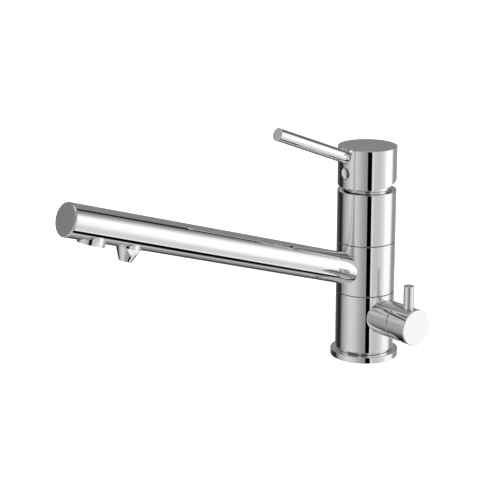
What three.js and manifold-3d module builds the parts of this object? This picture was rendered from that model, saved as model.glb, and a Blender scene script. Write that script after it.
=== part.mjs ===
// Three way kitchen tap: mixed hot and cold water and a separate filtered water outlet.
// Millimetres. Z is up from the worktop, the spout and the lever point along -Y, the filter valve along +X.
import * as THREE from 'three';
import { mergeVertices } from 'three/addons/utils/BufferGeometryUtils.js';
import Module from 'manifold-3d';

const clearance = 0.3;
const runningGap = 0.3;
const seamWidth = 0.5;
const over = 1;
const sharpEdge = 0.3;
const softEdge = 0.4;

// Column. Radii go outwards from the cartridge and the core.
const cartridgeRadius = 17.5;
const bodyWall = 6.5;
const bodyRadius = cartridgeRadius + bodyWall;
const flangeLip = 3.8;
const flangeRadius = bodyRadius + flangeLip;
const flangeHeight = 5.3;
const neckHeight = 2;
const neckInset = 1.6;
const lowerSeam = 55.3;
const collarHeight = 42.1;
const upperSeam = lowerSeam + collarHeight;
const rimWall = 1.6;
const cupDepth = 1.2;

// Brass core and its inlet block
const skinWall = 6;
const coreRadius = bodyRadius - skinWall;
const spindleStep = 1;
const spindleRadius = coreRadius - spindleStep;
const threadStep = 2.5;
const threadRadius = spindleRadius - threadStep;
const threadLength = 12.3;
const coreTop = upperSeam + threadLength;
const threadSeatDrop = 2.7;
const channelRadius = 3;
const filterChannelRadius = 2;
const filterPortRadius = 1.2;
const valvePortRadius = 2.2;
const valvePortOffset = 1.5;
const inletRadius = 5;
const inletDepth = 12;
const studHoleRadius = 3.4;
const studHoleDepth = 14;
const inletBlockRoof = 1.6;
const inletBlockHeight = studHoleDepth + inletBlockRoof;
const rawChannelRadius = 2.5;
const hotAt = [-8.5, 4];
const coldAt = [3.5, 8.8];
const rawAt = [5, -7.5];
const mixedAt = [0, -8];
const filteredAt = [10.5, 0];
const studAt = [-9.5, -8.5];
const sealSection = 0.95;
const sealRises = [4.7, 23.2, 33.2];
const mixedGalleryRises = [9.2, 18.7];
const mixedGalleryDepth = 3.5;
const filterGalleryRises = [26.7, 29.7];
const filterGalleryDepth = 2.5;
const slipWidth = 3.6;
const slipDepth = 1.5;

// Gasket under the flange
const gasketWidth = 5;
const gasketInset = 2.3;
const gasketOuter = flangeRadius - gasketInset;
const gasketInner = gasketOuter - gasketWidth;
const gasketHeight = 1.9;

// Spout
const spoutRise = 14.5;
const spoutHeight = lowerSeam + spoutRise;
const spoutAngle = 17.8;
const spoutRadius = 12.86;
const spoutWall = 1.3;
const spoutLength = 302.3;
const endCapThickness = 1.4;
const endCapBevel = 1.1;
const endPlugDepth = 4;
const endPlugWall = 1.4;
const socketDepth = 4;
const mixedPortRadius = 4.5;
const collarPortRadius = 1.5;
const outletHoleFrom = 3;

// Main outlet
const mainOutletInset = 26.5;
const mainOutletAt = spoutLength - mainOutletInset;
const mainOutletRadius = 10.47;
const mainOutletReach = 1.84;
const mainOutletDepth = spoutRadius + mainOutletReach;
const mainOutletLength = 8.2;
const mainOutletFlat = 9.98;
const mainOutletFlatLength = 3.7;
const aeratorRadius = 7.7;
const aeratorWall = 1.3;
const aeratorInset = 0.5;
const aeratorHeight = 6.2;
const aeratorLedgeWidth = 0.8;
const aeratorLedge = 3.5;
const screenThickness = 1.6;
const screenHole = 0.75;
const screenPitch = 2.2;

// Filtered outlet
const outletPitch = 33.6;
const nozzleAt = mainOutletAt - outletPitch;
const nozzleRadius = 9.57;
const nozzleShoulderInset = 0.41;
const nozzleShoulder = spoutRadius - nozzleShoulderInset;
const nozzleCone = 10.25;
const nozzleDepth = nozzleShoulder + nozzleCone;
const nozzleBarrel = 4.95;
const nozzleTipRadius = 4.95;
const nozzleFlat = 7.33;
const nozzleBore = 3.9;
const nozzleWaterway = 3;
const nozzleSocketDepth = 2.5;
const insertInset = 3.2;
const insertThickness = 2;
const insertHole = 0.7;
const insertPitch = 2;
const waterTubeRadius = 4;
const waterTubeWall = 1.2;
const waterTubeGap = 0.76;
const waterTubeLift = spoutRadius - spoutWall - waterTubeRadius - waterTubeGap;
const waterTubeBend = 15;

// Mixer cartridge
const cartridgeWall = 2.7;
const cartridgeHeight = 18;
const cartridgeShoulder = coreTop + clearance + cartridgeHeight;
const cartridgeNeckRadius = 11;
const cartridgeNeck = 19.6;
const cartridgeTop = cartridgeShoulder + cartridgeNeck;
const turretRadius = 8.7;
const turretStep = 1.2;
const pivotDepth = 2.6;
const pivotHeight = cartridgeTop - pivotDepth;
const pivotPinRadius = 1.3;
const pivotPinInset = 0.4;
const stemSlotPlay = 0.4;
const stemSlotLength = 14;
const stemRadius = 3.3;
const stemHeadRadius = 4.8;
const stemFoot = 12;
const spindleFlatDepth = 0.6;
const discThickness = 3.5;
const carrierThickness = 3.8;
const nutWall = 2;
const nutRadius = cartridgeRadius + nutWall;
const nutHeight = 5;
const nutSlotWidth = 5;
const nutSlotDepth = 1.6;
const nutSlotInner = 15;
const rimRise = 12;
const bodyTop = cartridgeShoulder + rimRise;

// Handle
const capGap = 5;
const capEdgeHeight = bodyTop + capGap;
const capHeight = 30.9;
const capTop = capEdgeHeight + capHeight;
const capFrontTilt = 2.3;
const capBackTilt = 13.3;
const capNeckRadius = 18.6;
const capNeckTilt = 8;
const capNeckDrop = 8.2;
const capCavityRadius = 14.5;
const capCavityRoom = 4.2;
const capCavityTop = cartridgeTop + capCavityRoom;
const capRoof = 9.9;
const stemTop = capTop - capRoof;
const leverRise = 15;
const leverHeight = capEdgeHeight + leverRise;
const leverAngle = 21.76;
const leverRadius = 5.2;
const leverLength = 101.4;
const leverRoot = 12;
const notchDepth = 2.2;
const notchStart = 1;
const notchTop = 10;
const notchFlare = 0.21;
const plugDrop = 4;
const plugHeight = leverHeight - plugDrop;
const plugHoleRadius = 5;
const plugRecess = 4.5;
const plugInset = 0.6;
const plugDish = 1.1;
const screwRadius = 1.9;
const screwLength = 10;
const screwKeyRadius = 1;
const screwKeyDepth = 2.5;

// Filter valve
const valveDrop = 17.7;
const valveHeight = lowerSeam - valveDrop;
const branchRadius = 14.8;
const branchReach = 17.3;
const branchEnd = bodyRadius + branchReach;
const knobStart = branchEnd + seamWidth;
const knobLength = 19.7;
const knobEnd = knobStart + knobLength;
const knobBevel = 0.7;
const valveBore = 6.3;
const valveSeatDepth = 3.5;
const valveSeatAt = coreRadius - valveSeatDepth;
const valveSealLength = 3.7;
const valveSealBore = 3.2;
const valveDiscHole = 1.6;
const valveDiscHoleAt = 3;
const valveDiscThickness = 2.8;
const headworkTail = 1.3;
const headworkTailWall = 1.7;
const headworkRadius = 9.8;
const headworkFit = 1;
const headworkShoulder = 1.3;
const headworkNoseRadius = 6.9;
const headworkNoseLength = 4.1;
const headworkNose = branchEnd + headworkNoseLength;
const headworkRecess = 0.5;
const headworkRoom = 0.8;
const spindleFlange = 2.2;
const valveSpindleRadius = 3.8;
const spindleRoof = 4.5;
const knobPinRadius = 4.3;
const knobPinLength = 32.9;
const knobPinTop = valveHeight + knobPinLength;
const knobPinShank = 2.5;
const knobPinSeat = 12;

const chrome = { color: 0xc9cbce, roughness: 0.06, metalness: 1 };
const brass = { color: 0xb58f45, roughness: 0.35, metalness: 1 };
const steel = { color: 0xa9abad, roughness: 0.3, metalness: 1 };
const rubber = { color: 0x1b1b1c, roughness: 0.85, metalness: 0 };
const ceramic = { color: 0xe9e5da, roughness: 0.3, metalness: 0 };
const nylon = { color: 0xd8d8d2, roughness: 0.55, metalness: 0 };
const darkNylon = { color: 0x17181a, roughness: 0.5, metalness: 0 };

const wasm = await Module();
wasm.setup();

function solid(geometry) {
  const bare = geometry.clone();
  bare.deleteAttribute('normal');
  bare.deleteAttribute('uv');
  const merged = mergeVertices(bare, 1e-4);
  const index = merged.index.array;
  const kept = [];
  for (let i = 0; i < index.length; i += 3) {
    const [a, b, c] = [index[i], index[i + 1], index[i + 2]];
    if (a !== b && b !== c && a !== c) kept.push(a, b, c);
  }
  return new wasm.Manifold(new wasm.Mesh({
    numProp: 3,
    vertProperties: merged.attributes.position.array,
    triVerts: new Uint32Array(kept),
  }));
}

// A solid turned from a profile of [radius, height] points that go round it anticlockwise.
function turned(profile, segments = 32) {
  const points = profile.map(([radius, height]) => new THREE.Vector2(radius, height));
  if (profile[0][0] > 0) points.push(points[0].clone());
  return new THREE.LatheGeometry(points, segments).rotateX(Math.PI / 2);
}

// A rod along Z from one height to another.
function rod(radius, from, to, segments = 32) {
  return turned([[0, from], [radius, from], [radius, to], [0, to]], segments);
}

function ring(inner, outer, from, to, segments = 32) {
  return turned([[inner, from], [outer, from], [outer, to], [inner, to]], segments);
}

function alongX(geometry, y, z) {
  return geometry.rotateY(Math.PI / 2).translate(0, y, z);
}

function alongFront(geometry, x, z) {
  return geometry.rotateX(Math.PI / 2).translate(x, 0, z);
}

function turnedUp(geometry, angle, height) {
  return geometry.rotateX(THREE.MathUtils.degToRad(90 - angle)).translate(0, 0, height);
}

function onSpout(geometry) {
  return turnedUp(geometry, spoutAngle, spoutHeight);
}

function onLever(geometry) {
  return turnedUp(geometry, leverAngle, leverHeight);
}

// Turns a piece made along Z to point down out of the spout, a distance along it from the column.
function outOfSpout(geometry, at) {
  return onSpout(geometry.rotateX(Math.PI / 2).translate(0, 0, at));
}

function joined(first, ...others) {
  return others.reduce((sum, next) => sum.add(solid(next)), solid(first));
}

function cut(body, ...tools) {
  return tools.reduce((rest, tool) => rest.subtract(solid(tool)), body);
}

function mesh(name, shape, look) {
  let geometry = shape;
  if (!shape.isBufferGeometry) {
    const out = shape.getMesh();
    geometry = new THREE.BufferGeometry();
    geometry.setAttribute('position', new THREE.BufferAttribute(new Float32Array(out.vertProperties), 3));
    geometry.setIndex(new THREE.BufferAttribute(new Uint32Array(out.triVerts), 1));
  }
  geometry.computeVertexNormals();
  const made = new THREE.Mesh(geometry, new THREE.MeshStandardMaterial(look));
  made.name = name;
  return made;
}

function circlePoints(radius, count, x = 0, y = 0) {
  const points = [];
  for (let i = 0; i < count; i += 1) {
    const turn = (2 * Math.PI * i) / count;
    points.push(new THREE.Vector2(x + radius * Math.cos(turn), y + radius * Math.sin(turn)));
  }
  return points;
}

// A round plate with rings of six sided holes round a middle one.
function perforatedDisc(radius, thickness, holeRadius, rings, pitch) {
  const outline = new THREE.Shape(circlePoints(radius, 24));
  for (let step = 0; step <= rings; step += 1) {
    const count = Math.max(1, 6 * step);
    circlePoints(step * pitch, count).forEach((at) => {
      outline.holes.push(new THREE.Path(circlePoints(holeRadius, 6, at.x, at.y).reverse()));
    });
  }
  return new THREE.ExtrudeGeometry(outline, { depth: thickness, bevelEnabled: false });
}

// Column pieces

function baseFlange() {
  const inner = coreRadius + clearance;
  const grooveInner = gasketInner - clearance;
  const grooveOuter = gasketOuter + clearance;
  const grooveTop = gasketHeight + clearance;
  return turned([
    [inner, 0], [grooveInner, 0], [grooveInner, grooveTop], [grooveOuter, grooveTop], [grooveOuter, 0],
    [flangeRadius, 0], [flangeRadius, flangeHeight - softEdge], [flangeRadius - softEdge, flangeHeight],
    [inner, flangeHeight],
  ], 40);
}

const aboveSeam = (rise) => lowerSeam + rise;
const sealHeights = sealRises.map(aboveSeam);
const grooveHalf = sealSection + clearance;
const grooveFloor = spindleRadius - 2 * sealSection - clearance;
const mixedGallery = mixedGalleryRises.map(aboveSeam);
const filterGallery = filterGalleryRises.map(aboveSeam);
const filterPortHeight = (filterGallery[0] + filterGallery[1]) / 2;
const mixedPortHeight = (mixedGallery[0] + mixedGallery[1]) / 2;

function spindleGroove(from, to, floor) {
  return [[spindleRadius, from], [floor, from], [floor, to], [spindleRadius, to]];
}

function drill(radius, from, to, [x, y]) {
  return rod(radius, from, to, 12).translate(x, y, 0);
}

// The supply hoses and the fixing stud screw into this block from below.
function inletBlock() {
  const inlets = [hotAt, coldAt, rawAt].map((at) => drill(inletRadius, -over, inletDepth, at));
  const roof = inletBlockHeight + over;
  return cut(
    solid(rod(coreRadius, 0, inletBlockHeight, 24)),
    ...inlets,
    drill(channelRadius, inletDepth - over, roof, hotAt),
    drill(channelRadius, inletDepth - over, roof, coldAt),
    drill(rawChannelRadius, inletDepth - over, roof, rawAt),
    drill(studHoleRadius, -over, studHoleDepth, studAt),
  );
}

function bodyCore() {
  const foot = inletBlockHeight + clearance;
  const shoulder = lowerSeam - seamWidth / 2 - slipDepth;
  const profile = [
    [0, foot], [coreRadius, foot], [coreRadius, shoulder], [spindleRadius, shoulder],
    ...spindleGroove(sealHeights[0] - grooveHalf, sealHeights[0] + grooveHalf, grooveFloor),
    ...spindleGroove(...mixedGallery, spindleRadius - mixedGalleryDepth),
    ...spindleGroove(sealHeights[1] - grooveHalf, sealHeights[1] + grooveHalf, grooveFloor),
    ...spindleGroove(...filterGallery, spindleRadius - filterGalleryDepth),
    ...spindleGroove(sealHeights[2] - grooveHalf, sealHeights[2] + grooveHalf, grooveFloor),
    [spindleRadius, upperSeam], [threadRadius, upperSeam], [threadRadius, coreTop], [0, coreTop],
  ];
  const tailSeat = valveSeatAt - headworkTail - clearance;
  return cut(
    solid(turned(profile, 24)),
    drill(channelRadius, 0, coreTop + over, hotAt),
    drill(channelRadius, 0, coreTop + over, coldAt),
    drill(rawChannelRadius, 0, valveHeight, rawAt),
    drill(channelRadius, mixedPortHeight, coreTop + over, mixedAt),
    drill(filterChannelRadius, valveHeight, filterPortHeight, filteredAt),
    alongFront(rod(channelRadius, -mixedAt[1], spindleRadius - mixedGalleryDepth + over, 12), 0, mixedPortHeight),
    alongX(rod(filterPortRadius, filteredAt[0], spindleRadius - filterGalleryDepth + over, 10), 0, filterPortHeight),
    alongX(rod(valvePortRadius, rawAt[0], tailSeat + over, 10), 0, valveHeight),
    alongFront(rod(valvePortRadius, -over, -rawAt[1], 10), rawAt[0], valveHeight - valvePortOffset),
    alongX(rod(valveBore + headworkTailWall + clearance, tailSeat, coreRadius + over, 24), 0, valveHeight),
  );
}

function lowerBody() {
  const bottom = flangeHeight + clearance;
  const top = lowerSeam - seamWidth / 2;
  const neck = bodyRadius - neckInset;
  const inner = coreRadius + clearance;
  const recess = spindleRadius + runningGap + slipWidth + clearance;
  const outside = turned([
    [0, bottom], [neck, bottom], [neck, bottom + neckHeight], [bodyRadius, bottom + neckHeight],
    [bodyRadius, top], [0, top],
  ], 40);
  const root = coreRadius / 2;
  const branch = alongX(turned([
    [0, root], [branchRadius, root], [branchRadius, branchEnd - sharpEdge],
    [branchRadius - sharpEdge, branchEnd], [0, branchEnd],
  ]), 0, valveHeight);
  return cut(
    joined(outside, branch),
    rod(inner, 0, bodyTop, 40),
    rod(recess, top - slipDepth, bodyTop, 40),
    alongX(rod(headworkRadius + clearance, root, branchEnd + over, 32), 0, valveHeight),
  );
}

function upperBody() {
  const bottom = upperSeam + seamWidth / 2;
  const recess = spindleRadius + runningGap + slipWidth + clearance;
  const cup = cartridgeRadius + clearance;
  const nutBore = nutRadius + clearance;
  const bore = threadRadius + clearance;
  const rim = bodyRadius - rimWall;
  const seat = coreTop - threadSeatDrop;
  return turned([
    [bore, bottom + slipDepth], [recess, bottom + slipDepth], [recess, bottom], [bodyRadius, bottom],
    [bodyRadius, bodyTop], [rim, bodyTop], [rim, bodyTop - cupDepth], [nutBore, bodyTop - cupDepth],
    [nutBore, cartridgeShoulder - clearance], [cup, cartridgeShoulder - clearance], [cup, seat], [bore, seat],
  ], 40);
}

function slipRing(seam) {
  const half = seamWidth / 2 + slipDepth - clearance;
  const inner = spindleRadius + runningGap;
  return ring(inner, inner + slipWidth, seam - half, seam + half);
}

function spindleSeal(height) {
  const middle = spindleRadius - sealSection;
  return new THREE.TorusGeometry(middle, sealSection, 6, 24).translate(0, 0, height);
}

// Spout pieces

function spoutCollar() {
  const bottom = lowerSeam + seamWidth / 2;
  const top = upperSeam - seamWidth / 2;
  const bore = spindleRadius + runningGap;
  const recess = bore + slipWidth + clearance;
  const floor = bodyRadius - socketDepth;
  const pocket = cut(
    solid(onSpout(rod(spoutRadius + clearance, 0, 2 * bodyRadius, 40))),
    rod(floor, bottom - over, top + over, 40),
  );
  const blank = turned([
    [bore, bottom + slipDepth], [recess, bottom + slipDepth], [recess, bottom], [bodyRadius, bottom],
    [bodyRadius, top], [recess, top], [recess, top - slipDepth], [bore, top - slipDepth],
  ], 40);
  return cut(
    solid(blank).subtract(pocket),
    alongFront(rod(mixedPortRadius, bore - 2 * over, floor + 2 * over, 16), 0, mixedPortHeight),
    alongFront(rod(collarPortRadius, bore - 2 * over, floor + 2 * over, 10), 0, filterPortHeight),
  );
}

function spoutTube() {
  const end = spoutLength - endCapThickness - clearance / 2;
  const bore = spoutRadius - spoutWall;
  return cut(
    solid(onSpout(rod(spoutRadius, coreRadius / 2, end, 40))),
    onSpout(rod(bore, 0, end + over, 40)),
    rod(bodyRadius - socketDepth + clearance, 0, bodyTop, 40),
    outOfSpout(rod(mainOutletRadius + clearance, outletHoleFrom, spoutRadius + over, 28), mainOutletAt),
    outOfSpout(rod(nozzleRadius + clearance, outletHoleFrom, spoutRadius + over, 28), nozzleAt),
  );
}

function spoutEndCap() {
  const back = spoutLength - endCapThickness + clearance / 2;
  const plug = spoutRadius - spoutWall - clearance;
  const inside = plug - endPlugWall;
  const root = back - endPlugDepth;
  return onSpout(turned([
    [0, back], [inside, back], [inside, root], [plug, root], [plug, back], [spoutRadius, back],
    [spoutRadius, spoutLength - endCapBevel], [spoutRadius - endCapBevel, spoutLength], [0, spoutLength],
  ], 40));
}

// Two spanner flats milled from one depth out of the spout down past the outlet's mouth.
function milledFlats(body, flat, from, to, at) {
  const size = 12;
  const sides = [-1, 1].map((side) => outOfSpout(
    new THREE.BoxGeometry(size, 2 * size, to - from).translate(side * (flat + size / 2), 0, (from + to) / 2),
    at,
  ));
  return cut(body, ...sides);
}

function mainOutletCollar() {
  const bore = aeratorRadius + clearance;
  const root = mainOutletDepth - mainOutletLength;
  const collar = outOfSpout(turned([
    [bore, root], [mainOutletRadius, root], [mainOutletRadius, mainOutletDepth - sharpEdge],
    [mainOutletRadius - sharpEdge, mainOutletDepth], [bore, mainOutletDepth],
  ]), mainOutletAt);
  const flatFrom = mainOutletDepth - mainOutletFlatLength;
  return milledFlats(solid(collar), mainOutletFlat, flatFrom, mainOutletDepth + over, mainOutletAt);
}

const aeratorMouth = mainOutletDepth - aeratorInset;
const aeratorRoot = aeratorMouth - aeratorHeight;

function aeratorHousing() {
  const inner = aeratorRadius - aeratorWall;
  const step = inner - aeratorLedgeWidth;
  const ledge = aeratorRoot + aeratorLedge;
  return outOfSpout(turned([
    [step, aeratorRoot], [aeratorRadius, aeratorRoot], [aeratorRadius, aeratorMouth], [inner, aeratorMouth],
    [inner, ledge], [step, ledge],
  ], 32), mainOutletAt);
}

function aeratorScreen() {
  const radius = aeratorRadius - aeratorWall - clearance;
  const back = aeratorRoot + aeratorLedge + clearance;
  const screen = perforatedDisc(radius, screenThickness, screenHole, 2, screenPitch);
  return outOfSpout(screen.translate(0, 0, back), mainOutletAt);
}

const nozzleRoot = nozzleShoulder - nozzleBarrel;
const nozzleSocket = nozzleRoot + nozzleSocketDepth;

function filterNozzle() {
  const socket = waterTubeRadius + clearance;
  const seat = nozzleDepth - insertInset;
  const body = outOfSpout(turned([
    [nozzleWaterway, nozzleSocket], [socket, nozzleSocket], [socket, nozzleRoot], [nozzleRadius, nozzleRoot],
    [nozzleRadius, nozzleShoulder], [nozzleTipRadius, nozzleDepth - sharpEdge],
    [nozzleTipRadius - sharpEdge, nozzleDepth], [nozzleBore, nozzleDepth], [nozzleBore, seat],
    [nozzleWaterway, seat],
  ]), nozzleAt);
  return milledFlats(solid(body), nozzleFlat, nozzleShoulder, nozzleDepth + over, nozzleAt);
}

function nozzleInsert() {
  const back = nozzleDepth - insertInset + clearance;
  const radius = nozzleBore - clearance;
  const insert = perforatedDisc(radius, insertThickness, insertHole, 1, insertPitch);
  return outOfSpout(insert.translate(0, 0, back), nozzleAt);
}

// The straight run of the filtered water's own tube inside the spout, coped to the collar.
function filteredWaterTube() {
  const end = nozzleAt - waterTubeBend - clearance;
  const run = onSpout(ring(waterTubeRadius - waterTubeWall, waterTubeRadius, coreRadius / 2, end, 16)
    .translate(0, waterTubeLift, 0));
  return cut(solid(run), rod(bodyRadius - socketDepth + clearance, 0, bodyTop, 40));
}

function elbowRun(radius, lead) {
  const start = new THREE.Vector3(0, waterTubeLift, nozzleAt - waterTubeBend - lead);
  const leave = new THREE.Vector3(0, waterTubeLift, nozzleAt - waterTubeBend + 1);
  const corner = new THREE.Vector3(0, waterTubeLift, nozzleAt);
  const arrive = new THREE.Vector3(0, waterTubeLift - waterTubeBend + 1, nozzleAt);
  const end = new THREE.Vector3(0, -nozzleSocket + clearance - lead, nozzleAt);
  const path = new THREE.CurvePath();
  path.add(new THREE.LineCurve3(start, leave));
  path.add(new THREE.QuadraticBezierCurve3(leave, corner, arrive));
  path.add(new THREE.LineCurve3(arrive, end));
  const section = new THREE.Shape(circlePoints(radius, 12));
  return onSpout(new THREE.ExtrudeGeometry(section, { steps: 14, extrudePath: path, bevelEnabled: false }));
}

// The elbow that takes the filtered water down into its nozzle.
function waterElbow() {
  return cut(solid(elbowRun(waterTubeRadius, 0)), elbowRun(waterTubeRadius - waterTubeWall, 1));
}

// Mixer cartridge pieces

const cartridgeBottom = coreTop + clearance;
const discBore = cartridgeRadius - cartridgeWall;
const fixedDiscFrom = cartridgeBottom + discThickness + clearance;
const movingDiscFrom = fixedDiscFrom + discThickness + clearance;
const turretFrom = movingDiscFrom + discThickness + clearance;

function cartridgeBody() {
  const turretBore = turretRadius + runningGap;
  const roof = turretFrom + carrierThickness + clearance;
  return turned([
    [discBore, cartridgeBottom], [cartridgeRadius, cartridgeBottom], [cartridgeRadius, cartridgeShoulder],
    [cartridgeNeckRadius, cartridgeShoulder], [cartridgeNeckRadius, cartridgeTop], [turretBore, cartridgeTop],
    [turretBore, roof], [discBore, roof],
  ]);
}

function portedDisc(radius, from, ports) {
  const blank = solid(rod(radius, from, from + discThickness, 32));
  const holes = ports.map(([x, y, size]) => drill(size, from - over, from + discThickness + over, [x, y]));
  return cut(blank, ...holes);
}

const waterPorts = [hotAt, coldAt, mixedAt].map((at) => [...at, channelRadius]);

function cartridgeNut() {
  const bottom = cartridgeShoulder + clearance;
  const top = bottom + nutHeight;
  const blank = solid(ring(cartridgeNeckRadius + clearance, nutRadius, bottom, top, 28));
  const slots = [0, 1, 2].map((i) => new THREE.BoxGeometry(3 * nutRadius, nutSlotWidth, 2 * nutSlotDepth)
    .translate(0, 0, top).rotateZ((i * Math.PI) / 3));
  const middle = rod(nutSlotInner, top - 2 * nutSlotDepth, top + 2 * nutSlotDepth, 32);
  return slots.reduce((rest, slot) => rest.subtract(solid(slot).subtract(solid(middle))), blank);
}

function cartridgeTurret() {
  const carrier = discBore - turretStep;
  const shoulder = turretFrom + carrierThickness;
  const blank = turned([
    [0, turretFrom], [carrier, turretFrom], [carrier, shoulder], [turretRadius, shoulder],
    [turretRadius, cartridgeTop], [0, cartridgeTop],
  ]);
  const slotHeight = pivotDepth + stemFoot + over;
  return cut(
    solid(blank),
    new THREE.BoxGeometry(2 * (stemRadius + stemSlotPlay), stemSlotLength, 2 * slotHeight)
      .translate(0, 0, cartridgeTop),
    alongX(rod(pivotPinRadius + clearance, -carrier, carrier, 12), 0, pivotHeight),
  );
}

function stemPivotPin() {
  const end = turretRadius - pivotPinInset;
  return alongX(rod(pivotPinRadius, -end, end, 12), 0, pivotHeight);
}

const stemFlat = stemHeadRadius - spindleFlatDepth;

function cartridgeStem() {
  const foot = pivotHeight - stemFoot;
  const head = capCavityTop - over;
  const flatFrom = capCavityTop + 0.2;
  const flatHeight = stemTop - flatFrom + over;
  return cut(
    solid(turned([
      [0, foot], [stemRadius, foot], [stemRadius, head], [stemHeadRadius, head],
      [stemHeadRadius, stemTop], [0, stemTop],
    ], 24)),
    alongX(rod(pivotPinRadius + clearance, -2 * stemRadius, 2 * stemRadius, 12), 0, pivotHeight),
    new THREE.BoxGeometry(3 * stemHeadRadius, 2, flatHeight)
      .translate(0, -stemFlat - 1, flatFrom + flatHeight / 2),
  );
}

// Handle pieces

// A geometry made round the lift axis, tilted about it and set at the height of the cap's lower edge.
function tilted(geometry, angle) {
  return geometry.rotateX(THREE.MathUtils.degToRad(angle)).translate(0, 0, capEdgeHeight);
}

// A drum whose underside is planed at two angles, the back one steeper so that the lever can lift,
// over a neck that closes the cup in every position.
function capShape() {
  const span = 3 * bodyRadius;
  const drum = turned([
    [0, capEdgeHeight - capNeckDrop], [bodyRadius, capEdgeHeight - capNeckDrop], [bodyRadius, capTop - softEdge],
    [bodyRadius - softEdge, capTop], [0, capTop],
  ], 40);
  const planed = [capFrontTilt, capBackTilt].map((angle) => tilted(
    new THREE.BoxGeometry(span, span, bodyRadius).translate(0, 0, -bodyRadius / 2),
    angle,
  ));
  const neck = tilted(rod(capNeckRadius, -capNeckDrop, capNeckDrop, 40), capNeckTilt);
  return cut(solid(drum), ...planed).add(solid(neck));
}

// The slot above the rod where it leaves the cap: flared up to the top face, with an upright back wall.
function leverNotch() {
  const half = (height) => leverRadius + clearance + height * notchFlare;
  const outline = new THREE.Shape();
  outline.moveTo(half(-notchStart), -notchStart);
  outline.lineTo(half(notchTop), notchTop);
  outline.lineTo(-half(notchTop), notchTop);
  outline.lineTo(-half(-notchStart), -notchStart);
  const slot = onLever(new THREE.ExtrudeGeometry(outline, { depth: 2 * bodyRadius, bevelEnabled: false }));
  const wall = bodyRadius - notchDepth;
  const front = new THREE.BoxGeometry(bodyRadius, bodyRadius, bodyRadius)
    .translate(0, -wall - bodyRadius / 2, capTop - bodyRadius / 3);
  return solid(slot).intersect(solid(front));
}

function handleCap() {
  const screwHole = screwRadius + clearance;
  const plugSeat = bodyRadius - plugRecess;
  return cut(
    capShape().subtract(leverNotch()),
    rod(capCavityRadius, capEdgeHeight - capHeight, capCavityTop, 32),
    rod(stemHeadRadius + clearance, capCavityTop - over, stemTop + clearance, 24),
    onLever(rod(leverRadius + clearance, leverRoot - clearance, 2 * bodyRadius, 24)),
    alongFront(rod(plugHoleRadius, plugSeat, bodyRadius + over, 28), 0, plugHeight),
    alongFront(rod(screwHole, stemFlat - over, bodyRadius, 16), 0, plugHeight),
  );
}

function leverRod() {
  return onLever(turned([
    [0, leverRoot], [leverRadius, leverRoot], [leverRadius, leverLength - softEdge],
    [leverRadius - softEdge, leverLength], [0, leverLength],
  ], 32));
}

function handleScrew() {
  const tip = stemFlat + clearance;
  const head = tip + screwLength;
  const screw = alongFront(rod(screwRadius, tip, head, 16), 0, plugHeight);
  const key = alongFront(rod(screwKeyRadius, head - screwKeyDepth, head + over, 6), 0, plugHeight);
  return cut(solid(screw), key);
}

// The plug's face is dished.
function indexPlug() {
  const seat = bodyRadius - plugRecess + clearance;
  const radius = plugHoleRadius - clearance;
  const floor = bodyRadius - plugInset - plugDish;
  const bend = (radius ** 2 + plugDish ** 2) / (2 * plugDish);
  const profile = [[0, seat], [radius, seat]];
  const steps = 6;
  for (let i = steps; i >= 0; i -= 1) {
    const out = (radius * i) / steps;
    profile.push([out, floor + bend - Math.sqrt(bend ** 2 - out ** 2)]);
  }
  return alongFront(turned(profile, 28), 0, plugHeight);
}

// Filter valve pieces

const knobMiddle = (knobStart + knobEnd) / 2;
const discFrom = valveSeatAt + valveSealLength + clearance;
const movingFrom = discFrom + valveDiscThickness + clearance;
const spindleFrom = movingFrom + valveDiscThickness + clearance;
const valveDiscRadius = valveBore - clearance;

function valveHeadwork() {
  const tail = valveBore + headworkTailWall;
  const tailEnd = valveSeatAt - headworkTail;
  const root = coreRadius + headworkFit;
  const shoulder = branchEnd - headworkShoulder;
  const bore = valveSpindleRadius + clearance;
  const stop = spindleFrom + spindleFlange + clearance;
  return alongX(turned([
    [valveBore, tailEnd], [tail, tailEnd], [tail, root], [headworkRadius, root], [headworkRadius, shoulder],
    [headworkNoseRadius, shoulder], [headworkNoseRadius, headworkNose], [bore, headworkNose], [bore, stop],
    [valveBore, stop],
  ], 32), 0, valveHeight);
}

function valveSeatSeal() {
  return alongX(ring(valveSealBore, valveDiscRadius, valveSeatAt, discFrom - clearance, 24), 0, valveHeight);
}

function valveDisc(from) {
  const blank = solid(alongX(rod(valveDiscRadius, from, from + valveDiscThickness, 24), 0, valveHeight));
  const holes = [-1, 1].map((side) => alongX(
    rod(valveDiscHole, from - over, from + valveDiscThickness + over, 12),
    side * valveDiscHoleAt,
    valveHeight,
  ));
  return cut(blank, ...holes);
}

const spindleFlat = valveSpindleRadius - spindleFlatDepth;

function valveSpindle() {
  const end = knobEnd - spindleRoof;
  const flange = spindleFrom + spindleFlange;
  const flatFrom = knobMiddle - 2 * knobPinShank;
  const flatLength = end - flatFrom + over;
  const body = alongX(turned([
    [0, spindleFrom], [valveDiscRadius, spindleFrom], [valveDiscRadius, flange],
    [valveSpindleRadius, flange], [valveSpindleRadius, end], [0, end],
  ], 24), 0, valveHeight);
  const flat = new THREE.BoxGeometry(flatLength, 3 * valveSpindleRadius, 2)
    .translate(flatFrom + flatLength / 2, 0, valveHeight + spindleFlat + 1);
  return cut(solid(body), flat);
}

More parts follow.
